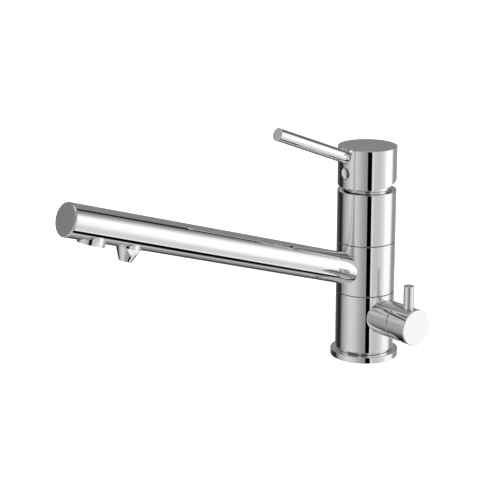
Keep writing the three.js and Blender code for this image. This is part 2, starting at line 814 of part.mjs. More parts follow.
function filterKnob() {
  const recess = headworkRadius + headworkRecess;
  const reach = 2 * branchRadius;
  const outside = alongX(turned([
    [0, knobStart], [branchRadius - sharpEdge, knobStart], [branchRadius, knobStart + sharpEdge],
    [branchRadius, knobEnd - knobBevel], [branchRadius - knobBevel, knobEnd], [0, knobEnd],
  ]), 0, valveHeight);
  return cut(
    solid(outside),
    alongX(rod(recess, knobStart - over, headworkNose + headworkRoom, 28), 0, valveHeight),
    alongX(rod(valveSpindleRadius + clearance, knobStart, knobEnd - spindleRoof + clearance, 24), 0, valveHeight),
    rod(knobPinRadius + clearance, knobPinSeat, reach, 24).translate(knobMiddle, 0, valveHeight),
    rod(knobPinShank + clearance, over, reach, 16).translate(knobMiddle, 0, valveHeight),
  );
}

function knobPin() {
  const foot = spindleFlat + clearance;
  const top = knobPinTop - valveHeight;
  return turned([
    [0, foot], [knobPinShank, foot], [knobPinShank, knobPinSeat + clearance],
    [knobPinRadius, knobPinSeat + clearance], [knobPinRadius, top - softEdge],
    [knobPinRadius - softEdge, top], [0, top],
  ], 28).translate(knobMiddle, 0, valveHeight);
}

// Assembly: the fixed column, the swinging spout, the handle that turns and lifts, and the filter knob

const column = new THREE.Group();
column.add(
  mesh('base_flange', baseFlange(), chrome),
  mesh('base_gasket', ring(gasketInner, gasketOuter, 0, gasketHeight), rubber),
  mesh('inlet_block', inletBlock(), brass),
  mesh('body_core', bodyCore(), brass),
  mesh('lower_body', lowerBody(), chrome),
  mesh('upper_body', upperBody(), chrome),
  mesh('lower_slip_ring', slipRing(lowerSeam), darkNylon),
  mesh('upper_slip_ring', slipRing(upperSeam), darkNylon),
  mesh('cartridge_body', cartridgeBody(), nylon),
  mesh('cartridge_base', portedDisc(discBore - clearance, cartridgeBottom, waterPorts), nylon),
  mesh('cartridge_fixed_disc', portedDisc(discBore - clearance, fixedDiscFrom, waterPorts), ceramic),
  mesh('cartridge_nut', cartridgeNut(), chrome),
  mesh('valve_headwork', valveHeadwork(), brass),
  mesh('valve_seat_seal', valveSeatSeal(), rubber),
  mesh('valve_fixed_disc', valveDisc(discFrom), ceramic),
);
['lower', 'middle', 'upper'].forEach((place, i) => {
  column.add(mesh(`spindle_seal_${place}`, spindleSeal(sealHeights[i]), rubber));
});

const spout = new THREE.Group();
spout.add(
  mesh('spout_collar', spoutCollar(), chrome),
  mesh('spout_tube', spoutTube(), chrome),
  mesh('spout_end_cap', spoutEndCap(), chrome),
  mesh('main_outlet_collar', mainOutletCollar(), chrome),
  mesh('aerator_housing', aeratorHousing(), nylon),
  mesh('aerator_screen', aeratorScreen(), nylon),
  mesh('filter_nozzle', filterNozzle(), chrome),
  mesh('nozzle_insert', nozzleInsert(), nylon),
  mesh('filtered_water_tube', filteredWaterTube(), nylon),
  mesh('water_elbow', waterElbow(), nylon),
);

const turret = new THREE.Group();
turret.add(
  mesh('cartridge_turret', cartridgeTurret(), nylon),
  mesh('cartridge_moving_disc', portedDisc(discBore - turretStep, movingDiscFrom, [[0, -5.5, 4.5]]), ceramic),
  mesh('stem_pivot_pin', stemPivotPin(), steel),
);

const handle = new THREE.Group();
handle.add(
  mesh('cartridge_stem', cartridgeStem(), brass),
  mesh('handle_cap', handleCap(), chrome),
  mesh('lever_rod', leverRod(), chrome),
  mesh('handle_screw', handleScrew(), steel),
  mesh('index_plug', indexPlug(), chrome),
);
turret.add(handle);

const knob = new THREE.Group();
knob.add(
  mesh('filter_knob', filterKnob(), chrome),
  mesh('knob_pin', knobPin(), chrome),
  mesh('valve_spindle', valveSpindle(), brass),
  mesh('valve_moving_disc', valveDisc(movingFrom), ceramic),
);

const tap = new THREE.Group();
tap.add(column, spout, turret, knob);

export default tap;
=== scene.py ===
import bmesh
import bpy
import math
from mathutils import Matrix, Vector


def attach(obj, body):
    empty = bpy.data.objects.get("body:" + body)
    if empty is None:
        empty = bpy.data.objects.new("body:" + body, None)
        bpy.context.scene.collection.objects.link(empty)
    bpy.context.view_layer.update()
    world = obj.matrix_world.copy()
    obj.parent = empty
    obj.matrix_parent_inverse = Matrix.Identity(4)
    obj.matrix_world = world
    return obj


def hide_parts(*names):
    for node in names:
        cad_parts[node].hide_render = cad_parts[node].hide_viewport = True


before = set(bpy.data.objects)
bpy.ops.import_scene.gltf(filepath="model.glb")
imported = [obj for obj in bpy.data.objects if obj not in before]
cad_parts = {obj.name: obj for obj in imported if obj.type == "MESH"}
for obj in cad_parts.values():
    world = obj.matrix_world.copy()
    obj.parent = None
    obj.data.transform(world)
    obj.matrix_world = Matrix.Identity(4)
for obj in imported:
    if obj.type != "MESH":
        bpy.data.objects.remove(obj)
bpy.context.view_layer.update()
mm = 0.001
scene = bpy.context.scene


# Shader wiring. A Signal is one output socket, and maths on it adds the nodes.

class Signal:
    def __init__(self, tree, socket):
        self.tree = tree
        self.socket = socket

    def wire(self, kind, settings=None, inputs=None, output=0):
        return addNode(self.tree, kind, settings, inputs, output)

    def maths(self, operation, *values):
        return self.wire("ShaderNodeMath", {"operation": operation}, dict(enumerate(values)))

    def __add__(self, other):
        return self.maths("ADD", self, other)

    def __radd__(self, other):
        return self.maths("ADD", other, self)

    def __sub__(self, other):
        return self.maths("SUBTRACT", self, other)

    def __rsub__(self, other):
        return self.maths("SUBTRACT", other, self)

    def __mul__(self, other):
        return self.maths("MULTIPLY", self, other)

    def __rmul__(self, other):
        return self.maths("MULTIPLY", other, self)

    def __abs__(self):
        return self.maths("ABSOLUTE", self)


def addNode(tree, kind, settings=None, inputs=None, output=0):
    node = tree.nodes.new(kind)
    for name, value in (settings or {}).items():
        setattr(node, name, value)
    for name, value in (inputs or {}).items():
        if isinstance(value, Signal):
            tree.links.new(value.socket, node.inputs[name])
        else:
            node.inputs[name].default_value = value
    return Signal(tree, node.outputs[output]) if node.outputs else None


def startMaterial(name):
    material = bpy.data.materials.new(name)
    material.use_nodes = True
    tree = material.node_tree
    tree.nodes.clear()
    return material, tree


def smoothStep(value, start, end, low=0.0, high=1.0):
    settings = {"interpolation_type": "SMOOTHSTEP", "clamp": True}
    return value.wire("ShaderNodeMapRange", settings, {0: value, 1: start, 2: end, 3: low, 4: high})


def blendColours(tree, share, first, second):
    settings = {"data_type": "RGBA", "blend_type": "MIX"}
    return addNode(tree, "ShaderNodeMix", settings, {0: share, 6: first, 7: second}, output=2)


def noiseAt(tree, spot, scale, detail=3.0, roughness=0.5):
    inputs = {"Vector": spot, "Scale": scale, "Detail": detail, "Roughness": roughness}
    return addNode(tree, "ShaderNodeTexNoise", {"noise_dimensions": "3D"}, inputs)


def objectPlace(tree):
    return addNode(tree, "ShaderNodeTexCoord", output=3)


def stretched(tree, spot, scale):
    return addNode(tree, "ShaderNodeMapping", None, {"Vector": spot, "Scale": scale})


def bumpFrom(tree, height, look):
    inputs = {"Strength": look["bump"], "Distance": look["bumpDepth"], "Height": height}
    return addNode(tree, "ShaderNodeBump", None, inputs)


def finishMaterial(tree, inputs):
    shader = addNode(tree, "ShaderNodeBsdfPrincipled", None, inputs)
    addNode(tree, "ShaderNodeOutputMaterial", None, {"Surface": shader})


chromeLook = {
    "colour": (0.93, 0.935, 0.94, 1), "dulled": (0.885, 0.89, 0.895, 1), "dulling": 0.6,
    "polish": 0.018, "smear": 0.022, "smearScale": 34.0, "wipeStretch": 0.35,
    "hazeFrom": 0.45, "hazeTo": 0.75, "speck": 0.008, "speckScale": 420.0,
    "peelScale": 90.0, "bump": 0.012, "bumpDepth": 0.00002,
}


def chromePlate(name):
    # Bright plate: wiping haze in the roughness, and a very slight orange peel.
    look = chromeLook
    material, tree = startMaterial(name)
    spot = objectPlace(tree)
    wipe = stretched(tree, spot, (1.0, 1.0, look["wipeStretch"]))
    smear = noiseAt(tree, wipe, look["smearScale"], detail=4.0, roughness=0.6)
    specks = noiseAt(tree, spot, look["speckScale"], detail=2.0)
    haze = smoothStep(smear, look["hazeFrom"], look["hazeTo"])
    colour = blendColours(tree, haze * look["dulling"], look["colour"], look["dulled"])
    roughness = look["polish"] + haze * look["smear"] + specks * look["speck"]
    peel = noiseAt(tree, spot, look["peelScale"], detail=1.0, roughness=0.4)
    finishMaterial(tree, {"Base Color": colour, "Metallic": 1.0, "Roughness": roughness,
                          "Normal": bumpFrom(tree, peel, look)})
    return material


metalLook = {
    "lineScale": 6.0, "lineRough": 0.14, "stainScale": 60.0, "stainFrom": 0.42, "stainTo": 0.7,
    "stainRough": 0.1, "bump": 0.25, "bumpDepth": 0.00005,
}


def turnedMetal(name, colour, worn, roughness, axisScale):
    # Machined bar: fine lines round the turning axis, with stains.
    look = metalLook
    material, tree = startMaterial(name)
    spot = objectPlace(tree)
    lines = noiseAt(tree, stretched(tree, spot, axisScale), look["lineScale"], detail=2.0)
    stain = noiseAt(tree, spot, look["stainScale"], detail=4.0, roughness=0.6)
    patch = smoothStep(stain, look["stainFrom"], look["stainTo"])
    mixed = blendColours(tree, patch, colour, worn)
    dull = roughness + lines * look["lineRough"] + patch * look["stainRough"]
    finishMaterial(tree, {"Base Color": mixed, "Metallic": 1.0, "Roughness": dull,
                          "Normal": bumpFrom(tree, lines, look)})
    return material


plasticLook = {"cloudScale": 45.0, "grainRough": 0.16, "bump": 0.2, "bumpDepth": 0.00004}


def mouldedPlastic(name, colour, tint, roughness, grain):
    look = plasticLook
    material, tree = startMaterial(name)
    spot = objectPlace(tree)
    cloud = noiseAt(tree, spot, look["cloudScale"])
    fine = noiseAt(tree, spot, grain, detail=2.0)
    mixed = blendColours(tree, cloud, colour, tint)
    finishMaterial(tree, {"Base Color": mixed, "Roughness": roughness + fine * look["grainRough"],
                          "Normal": bumpFrom(tree, fine, look)})
    return material


brassLook = {"colour": (0.62, 0.43, 0.16, 1), "worn": (0.42, 0.27, 0.10, 1), "roughness": 0.24}
steelLook = {"colour": (0.56, 0.57, 0.58, 1), "worn": (0.40, 0.40, 0.41, 1), "roughness": 0.26}
rubberLook = {
    "colour": (0.018, 0.018, 0.019, 1), "tint": (0.035, 0.034, 0.033, 1), "roughness": 0.62, "grain": 900.0,
}
ceramicLook = {
    "colour": (0.86, 0.83, 0.76, 1), "tint": (0.80, 0.77, 0.70, 1), "roughness": 0.18, "grain": 1400.0,
}
nylonLook = {
    "colour": (0.78, 0.78, 0.74, 1), "tint": (0.70, 0.70, 0.66, 1), "roughness": 0.40, "grain": 1100.0,
}
bearingLook = {
    "colour": (0.03, 0.03, 0.032, 1), "tint": (0.05, 0.05, 0.05, 1), "roughness": 0.42, "grain": 1000.0,
}

chrome = chromePlate("chromePlate")
brass = turnedMetal("machinedBrass", axisScale=(8, 8, 900), **brassLook)
brassAcross = turnedMetal("machinedBrassAcross", axisScale=(900, 8, 8), **brassLook)
steel = turnedMetal("plainSteel", axisScale=(500, 500, 500), **steelLook)
rubber = mouldedPlastic("blackRubber", **rubberLook)
ceramic = mouldedPlastic("lappedCeramic", **ceramicLook)
nylon = mouldedPlastic("whiteNylon", **nylonLook)
blackPlastic = mouldedPlastic("blackBearingPlastic", **bearingLook)
print("materials ready")


# Shaping. Sizes are in millimetres. A turned shape has as many steps round as its size needs.

around = {"column": 256, "branch": 224, "tube": 192, "outlet": 160, "rod": 128, "pin": 112, "hole": 96}
shaping = {"roundSteps": 5, "hold": 0.05, "shortest": 6, "weld": 1e-6, "smoothAngle": 28}

alongX = Matrix.Rotation(math.radians(90), 4, "Y")
alongFront = Matrix.Rotation(math.radians(90), 4, "X")


def atHeight(height):
    return Matrix.Translation((0, 0, height * mm))


def upTheSlope(height, angle):
    return atHeight(height) @ Matrix.Rotation(math.radians(90 - angle), 4, "X")


def profileWire(bm, points):
    # points are (radius, height) or (radius, height, rounding), in the XZ plane
    corners = [bm.verts.new((p[0] * mm, 0, p[1] * mm)) for p in points]
    for first, second in zip(corners, corners[1:]):
        bm.edges.new((first, second))
    if points[0][0] > 0:
        bm.edges.new((corners[-1], corners[0]))
    rounds = {}
    for corner, point in zip(corners, points):
        if len(point) > 2:
            rounds.setdefault(point[2], []).append(corner)
    for size, group in rounds.items():
        bmesh.ops.bevel(bm, geom=group, offset=size * mm, offset_type="OFFSET",
                        segments=shaping["roundSteps"], profile=0.5, affect="VERTICES", material=-1,
                        clamp_overlap=True)


def holdStraights(bm):
    # A ring close to each end of a straight run keeps its shading flat. Runs under six holds have none.
    hold = shaping["hold"]
    for edge in [e for e in bm.edges if e.calc_length() > shaping["shortest"] * hold * mm]:
        start, end = edge.verts
        length = edge.calc_length()
        _, middle = bmesh.utils.edge_split(edge, start, hold * mm / length)
        rest = [e for e in middle.link_edges if e.other_vert(middle) == end][0]
        bmesh.utils.edge_split(rest, end, hold * mm / rest.calc_length())


def turned(points, steps, place=None):
    bm = bmesh.new()
    profileWire(bm, points)
    holdStraights(bm)
    bmesh.ops.spin(bm, geom=bm.verts[:] + bm.edges[:], cent=(0, 0, 0), axis=(0, 0, 1),
                   dvec=(0, 0, 0), angle=2 * math.pi, steps=steps, use_merge=True, use_duplicate=False)
    bmesh.ops.remove_doubles(bm, verts=bm.verts[:], dist=shaping["weld"])
    bmesh.ops.recalc_face_normals(bm, faces=bm.faces[:])
    if place is not None:
        bmesh.ops.transform(bm, matrix=place, verts=bm.verts[:])
    return bm


def drill(radius, start, end, steps, place=None):
    return turned([(0, start), (radius, start), (radius, end), (0, end)], steps, place)


def block(size, middle, turn=None):
    bm = bmesh.new()
    bmesh.ops.create_cube(bm, size=1)
    bmesh.ops.scale(bm, vec=[s * mm for s in size], verts=bm.verts[:])
    bmesh.ops.translate(bm, vec=[c * mm for c in middle], verts=bm.verts[:])
    if turn is not None:
        bmesh.ops.transform(bm, matrix=turn, verts=bm.verts[:])
    return bm


def asObject(name, bm, material=None):
    mesh = bpy.data.meshes.new(name)
    bm.to_mesh(mesh)
    bm.free()
    made = bpy.data.objects.new(name, mesh)
    scene.collection.objects.link(made)
    if material is not None:
        mesh.materials.append(material)
    return made


def carve(piece, toolMesh, way="DIFFERENCE"):
    tool = asObject("tool", toolMesh)
    cut = piece.modifiers.new("cut", "BOOLEAN")
    cut.operation = way
    cut.solver = "EXACT"
    cut.object = tool
    bpy.context.view_layer.update()
    graph = bpy.context.evaluated_depsgraph_get()
    shaped = bpy.data.meshes.new_from_object(piece.evaluated_get(graph))
    piece.modifiers.clear()
    old = piece.data
    shaped.name = old.name
    piece.data = shaped
    bpy.data.objects.remove(tool)
    bpy.data.meshes.remove(old)


def finishPiece(piece, body, node):
    # every rebuilt piece is chrome plate and stands in for one node
    piece.data.shade_smooth()
    piece.data.set_sharp_from_angle(angle=math.radians(shaping["smoothAngle"]))
    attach(piece, body)
    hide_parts(node)


# Column

column = {
    "radius": 24.0, "coreRadius": 18.3, "recess": 21.2, "slip": 1.5,
    "lowerSeam": 55.3, "upperSeam": 97.4, "seam": 0.5, "top": 140.0, "edge": 0.25,
}
flange = {
    "radius": 27.8, "height": 5.3, "edge": 0.45, "lowEdge": 0.3,
    "grooveInner": 20.2, "grooveOuter": 25.8, "grooveTop": 2.2,
}
branch = {
    "height": 37.6, "radius": 14.8, "root": 9.0, "end": 41.3, "bore": 10.1, "edge": 0.35,
    "lead": 1, "past": 50,
}
lower = {
    "bottom": 5.6, "neck": 22.4, "neckTop": 7.6, "neckEdge": 0.1, "edge": 0.3,
    "boreFrom": -5, "boreTo": 60,
}
upper = {
    "bore": 14.8, "cup": 17.8, "seat": 107.0, "nutBore": 19.8, "shoulder": 127.7,
    "rim": 22.4, "rimEdge": 0.3, "topEdge": 0.35, "depth": 1.2,
}
acrossBranch = atHeight(branch["height"]) @ alongX


def makeFlange():
    f, c = flange, column
    points = [
        (c["coreRadius"], 0), (f["grooveInner"], 0), (f["grooveInner"], f["grooveTop"]),
        (f["grooveOuter"], f["grooveTop"]), (f["grooveOuter"], 0), (f["radius"], 0, f["lowEdge"]),
        (f["radius"], f["height"], f["edge"]), (c["coreRadius"], f["height"]),
    ]
    piece = asObject("baseFlange", turned(points, around["tube"]), chrome)
    finishPiece(piece, "column", "base_flange")


def makeLowerBody():
    # the skin with the valve's branch on its side, then bored through
    w, b, c = lower, branch, column
    top = c["lowerSeam"] - c["seam"] / 2
    skin = [
        (c["coreRadius"], w["bottom"]), (w["neck"], w["bottom"], w["neckEdge"]), (w["neck"], w["neckTop"]),
        (c["radius"], w["neckTop"], w["edge"]), (c["radius"], top, c["edge"]), (c["recess"], top),
        (c["recess"], top - c["slip"]), (c["coreRadius"], top - c["slip"]),
    ]
    piece = asObject("lowerBody", turned(skin, around["column"]), chrome)
    arm = [(0, b["root"]), (b["radius"], b["root"]), (b["radius"], b["end"], b["edge"]), (0, b["end"])]
    carve(piece, turned(arm, around["branch"], acrossBranch), "UNION")
    carve(piece, drill(b["bore"], b["root"] - b["lead"], b["past"], around["hole"], acrossBranch))
    carve(piece, drill(c["coreRadius"], w["boreFrom"], w["boreTo"], around["column"]))
    finishPiece(piece, "column", "lower_body")


def makeUpperBody():
    u, c = upper, column
    bottom = c["upperSeam"] + c["seam"] / 2
    floor = c["top"] - u["depth"]
    points = [
        (u["bore"], bottom + c["slip"]), (c["recess"], bottom + c["slip"]), (c["recess"], bottom),
        (c["radius"], bottom, c["edge"]), (c["radius"], c["top"], u["topEdge"]),
        (u["rim"], c["top"], u["rimEdge"]), (u["rim"], floor), (u["nutBore"], floor),
        (u["nutBore"], u["shoulder"]), (u["cup"], u["shoulder"]), (u["cup"], u["seat"]),
        (u["bore"], u["seat"]),
    ]
    piece = asObject("upperBody", turned(points, around["column"]), chrome)
    finishPiece(piece, "column", "upper_body")


makeFlange()
makeLowerBody()
makeUpperBody()
print("column ready")


# Spout

spout = {
    "height": 69.8, "angle": 17.8, "radius": 12.86, "wall": 1.3, "start": 10.0, "end": 300.8,
    "edge": 0.06, "length": 302.3, "bevel": 0.9, "bore": 17.3, "hold": 20.3,
    "holdFrom": 20, "holdTo": 130,
}
endCap = {"clear": 0.3, "skirt": 1.4, "skirtDepth": 4, "edge": 0.05}
outlet = {
    "at": 275.8, "radius": 10.47, "depth": 14.7, "root": 6.5, "flat": 9.98, "flatFrom": 11.0,
    "bore": 8.0, "edge": 0.35, "boreEdge": 0.25,
}
nozzle = {
    "at": 242.2, "radius": 9.57, "shoulder": 12.45, "depth": 22.7, "tip": 4.95, "root": 7.5, "flat": 7.33,
    "flatFrom": 12.45, "bore": 3.9, "way": 3.0, "seat": 19.5, "socket": 10.0, "socketRadius": 4.3,
    "edge": 0.3, "boreEdge": 0.2, "shoulderEdge": 0.25,
}
outletHole = {"lip": 0.9, "start": 3, "end": 18}
spannerFlat = {"width": 12.0, "breadth": 40.0, "past": 1.0}
onSpout = upTheSlope(spout["height"], spout["angle"])


def downOf(one):
    return onSpout @ atHeight(one["at"]) @ alongFront


def makeCollar():
    c, s = column, spout
    bottom = c["lowerSeam"] + c["seam"] / 2
    top = c["upperSeam"] - c["seam"] / 2
    points = [
        (s["bore"], bottom + c["slip"]), (c["recess"], bottom + c["slip"]), (c["recess"], bottom),
        (c["radius"], bottom, c["edge"]), (c["radius"], top, c["edge"]), (c["recess"], top),
        (c["recess"], top - c["slip"]), (s["bore"], top - c["slip"]),
    ]
    piece = asObject("spoutCollar", turned(points, around["column"]), chrome)
    finishPiece(piece, "spout", "spout_collar")


def makeTube():
    # cut round at the root so that the collar holds it, with a hole above each outlet
    s, h = spout, outletHole
    inner = s["radius"] - s["wall"]
    points = [
        (inner, s["start"]), (s["radius"], s["start"]), (s["radius"], s["end"], s["edge"]),
        (inner, s["end"]),
    ]
    piece = asObject("spoutTube", turned(points, around["tube"], onSpout), chrome)
    carve(piece, drill(s["hold"], s["holdFrom"], s["holdTo"], around["rod"]))
    for one in (outlet, nozzle):
        carve(piece, drill(one["radius"] - h["lip"], h["start"], h["end"], around["hole"], downOf(one)))
    finishPiece(piece, "spout", "spout_tube")


def makeEndCap():
    s, e = spout, endCap
    inner = s["radius"] - s["wall"] - e["clear"]
    hollow = inner - e["skirt"]
    back = s["end"] + s["edge"]
    points = [
        (0, back), (hollow, back), (hollow, back - e["skirtDepth"]), (inner, back - e["skirtDepth"]),
        (inner, back), (s["radius"], back, e["edge"]), (s["radius"], s["length"], s["bevel"]),
        (0, s["length"]),
    ]
    piece = asObject("spoutEndCap", turned(points, around["tube"], onSpout), chrome)
    finishPiece(piece, "spout", "spout_end_cap")


def millFlats(piece, one):
    # two spanner flats on the lower part of an outlet
    width, breadth = spannerFlat["width"], spannerFlat["breadth"]
    length = one["depth"] + spannerFlat["past"] - one["flatFrom"]
    for side in (-1, 1):
        middle = (side * (one["flat"] + width / 2), 0, one["flatFrom"] + length / 2)
        carve(piece, block((width, breadth, length), middle, downOf(one)))


def makeOutlet():
    o = outlet
    points = [
        (o["bore"], o["root"]), (o["radius"], o["root"]), (o["radius"], o["depth"], o["edge"]),
        (o["bore"], o["depth"], o["boreEdge"]),
    ]
    piece = asObject("mainOutletCollar", turned(points, around["outlet"], downOf(o)), chrome)
    millFlats(piece, o)
    finishPiece(piece, "spout", "main_outlet_collar")


def makeNozzle():
    n = nozzle
    points = [
        (n["way"], n["socket"]), (n["socketRadius"], n["socket"]), (n["socketRadius"], n["root"]),
        (n["radius"], n["root"]), (n["radius"], n["shoulder"], n["shoulderEdge"]),
        (n["tip"], n["depth"], n["edge"]), (n["bore"], n["depth"], n["boreEdge"]),
        (n["bore"], n["seat"]), (n["way"], n["seat"]),
    ]
    piece = asObject("filterNozzle", turned(points, around["outlet"], downOf(n)), chrome)
    millFlats(piece, n)
    finishPiece(piece, "spout", "filter_nozzle")


makeCollar()
makeTube()
makeEndCap()
makeOutlet()
makeNozzle()
print("spout ready")


# Handle

cap = {
    "radius": 24.0, "top": 175.9, "rim": 0.4, "edge": 145.0, "frontTilt": 2.3, "backTilt": 13.3,
    "neck": 18.6, "neckTilt": 8.0, "neckDrop": 8.2, "neckEdge": 0.3,
    "cavity": 14.5, "cavityDrop": 10, "cavityTop": 151.8, "stemHole": 5.1, "stemTop": 166.3,
}
lever = {
    "height": 160.0, "angle": 21.76, "radius": 5.2, "length": 101.4, "root": 12.0, "edge": 0.5,
    "bore": 5.35, "clear": 0.3, "past": 60, "slotTop": 10.0, "slotFloor": -1.0, "flare": 0.21,
    "wall": 21.8,
}
plug = {
    "height": 156.0, "hole": 5.0, "seat": 19.5, "past": 30, "clear": 0.25, "gap": 0.3, "face": 23.4,
    "backEdge": 0.1, "faceEdge": 0.12, "dish": 1.1, "dishSteps": 24,
}
onLever = upTheSlope(lever["height"], lever["angle"])
onPlug = atHeight(plug["height"]) @ alongFront


def aboutEdge(angle):
    return atHeight(cap["edge"]) @ Matrix.Rotation(math.radians(angle), 4, "X")


def makeCap():
    # the underside is planed at two angles and a neck hangs from it into the cup
    k, n, p = cap, lever, plug
    low = k["edge"] - k["neckDrop"]
    drum = [(0, low), (k["radius"], low), (k["radius"], k["top"], k["rim"]), (0, k["top"])]
    piece = asObject("handleCap", turned(drum, around["column"]), chrome)
    span = 3 * k["radius"]
    for angle in (k["frontTilt"], k["backTilt"]):
        carve(piece, block((span, span, k["radius"]), (0, 0, -k["radius"] / 2), aboutEdge(angle)))
    neck = [
        (0, -k["neckDrop"]), (k["neck"], -k["neckDrop"], k["neckEdge"]), (k["neck"], k["neckDrop"]),
        (0, k["neckDrop"]),
    ]
    carve(piece, turned(neck, around["tube"], aboutEdge(k["neckTilt"])), "UNION")
    mouth = low - k["cavityDrop"]
    hollow = [
        (0, mouth), (k["cavity"], mouth), (k["cavity"], k["cavityTop"]), (k["stemHole"], k["cavityTop"]),
        (k["stemHole"], k["stemTop"]), (0, k["stemTop"]),
    ]
    carve(piece, turned(hollow, around["hole"]))
    carve(piece, leverSlot())
    carve(piece, drill(n["bore"], n["root"] - n["clear"], n["past"], around["rod"], onLever))
    carve(piece, drill(p["hole"], p["seat"], p["past"], around["hole"], onPlug))
    finishPiece(piece, "handle", "handle_cap")


def leverSlot():
    # flared from the rod's axis up to the top face, with an upright back wall
    n = lever
    middle = (0, (n["slotTop"] + n["slotFloor"]) / 2, n["past"] / 2)
    bm = block((2 * n["bore"], n["slotTop"] - n["slotFloor"], n["past"]), middle)
    for vert in bm.verts:
        vert.co.x += math.copysign(n["flare"] * vert.co.y, vert.co.x)
    bmesh.ops.transform(bm, matrix=onLever, verts=bm.verts[:])
    bmesh.ops.bisect_plane(bm, geom=bm.verts[:] + bm.edges[:] + bm.faces[:],
                           plane_co=(0, -n["wall"] * mm, 0), plane_no=(0, 1, 0), clear_outer=True)
    bmesh.ops.holes_fill(bm, edges=bm.edges[:], sides=0)
    bmesh.ops.recalc_face_normals(bm, faces=bm.faces[:])
    return bm


def makeLever():
    n = lever
    points = [
        (0, n["root"]), (n["radius"], n["root"]), (n["radius"], n["length"], n["edge"]), (0, n["length"]),
    ]
    piece = asObject("leverRod", turned(points, around["rod"], onLever), chrome)
    finishPiece(piece, "handle", "lever_rod")


def makePlug():
    # a dished face, seen in the hole on the side of the cap
    p = plug
    radius = p["hole"] - p["clear"]
    back = p["seat"] + p["gap"]
    floor = p["face"] - p["dish"]
    bend = (radius ** 2 + p["dish"] ** 2) / (2 * p["dish"])
    dish = [radius * (1 - step / p["dishSteps"]) for step in range(1, p["dishSteps"])]
    points = [(0, back), (radius, back, p["backEdge"]), (radius, p["face"], p["faceEdge"])]
    points += [(out, floor + bend - math.sqrt(bend ** 2 - out ** 2)) for out in dish]
    piece = asObject("indexPlug", turned(points + [(0, floor)], around["rod"], onPlug), chrome)
    finishPiece(piece, "handle", "index_plug")


makeCap()
makeLever()
makePlug()
print("handle ready")


# Filter knob

knob = {
    "start": 41.8, "end": 61.5, "bevel": 0.7, "recess": 10.3, "recessEnd": 46.2,
    "spindle": 4.1, "spindleEnd": 57.5,
}
pin = {
    "radius": 4.3, "top": 70.5, "seat": 12.3, "shank": 2.5, "foot": 3.5, "edge": 0.45, "clear": 0.08,
    "shankClear": 0.3, "socketFoot": 2, "socketStep": 12, "past": 30,
}
onPin = Matrix.Translation(((knob["start"] + knob["end"]) / 2 * mm, 0, branch["height"] * mm))


def makeKnob():
    k, b = knob, branch
    points = [
        (0, k["spindleEnd"]), (k["spindle"], k["spindleEnd"]), (k["spindle"], k["recessEnd"]),
        (k["recess"], k["recessEnd"]), (k["recess"], k["start"]), (b["radius"], k["start"], b["edge"]),
        (b["radius"], k["end"], k["bevel"]), (0, k["end"]),
    ]
    piece = asObject("filterKnob", turned(points, around["branch"], acrossBranch), chrome)
    hole = pin["radius"] + pin["clear"]
    shaft = pin["shank"] + pin["shankClear"]
    socket = [
        (0, pin["socketFoot"]), (shaft, pin["socketFoot"]), (shaft, pin["socketStep"]),
        (hole, pin["socketStep"]), (hole, pin["past"]), (0, pin["past"]),
    ]
    carve(piece, turned(socket, around["hole"], onPin))
    finishPiece(piece, "knob", "filter_knob")


def makePin():
    top = pin["top"] - branch["height"]
    points = [
        (0, pin["foot"]), (pin["shank"], pin["foot"]), (pin["shank"], pin["seat"]),
        (pin["radius"], pin["seat"]), (pin["radius"], top, pin["edge"]), (0, top),
    ]
    piece = asObject("knobPin", turned(points, around["pin"], onPin), chrome)
    finishPiece(piece, "knob", "knob_pin")


makeKnob()
makePin()
print("knob ready")


# Inner pieces keep their nodes and get their real finishes

inside = [
    (chrome, ["cartridge_nut"]),
    (rubber, ["base_gasket", "spindle_seal_lower", "spindle_seal_middle", "spindle_seal_upper",
              "valve_seat_seal"]),
    (brass, ["inlet_block", "body_core", "cartridge_stem"]),
    (brassAcross, ["valve_headwork", "valve_spindle"]),
    (steel, ["stem_pivot_pin", "handle_screw"]),
    (ceramic, ["cartridge_fixed_disc", "cartridge_moving_disc", "valve_fixed_disc", "valve_moving_disc"]),
    (blackPlastic, ["lower_slip_ring", "upper_slip_ring"]),
    (nylon, ["cartridge_body", "cartridge_base", "cartridge_turret", "aerator_housing", "aerator_screen",
             "nozzle_insert", "filtered_water_tube", "water_elbow"]),
]
for finish, nodes in inside:
    for node in nodes:
        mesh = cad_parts[node].data
        mesh.materials.clear()
        mesh.materials.append(finish)


# Studio: soft cards all round, as the bright metal sees them. Angles are in degrees, 0 towards -Y and
# 90 towards +X. A card reaches by half to either side of at, and from low to high. With a lean, at moves
# by that much for each degree of height. A later card lies over an earlier one.

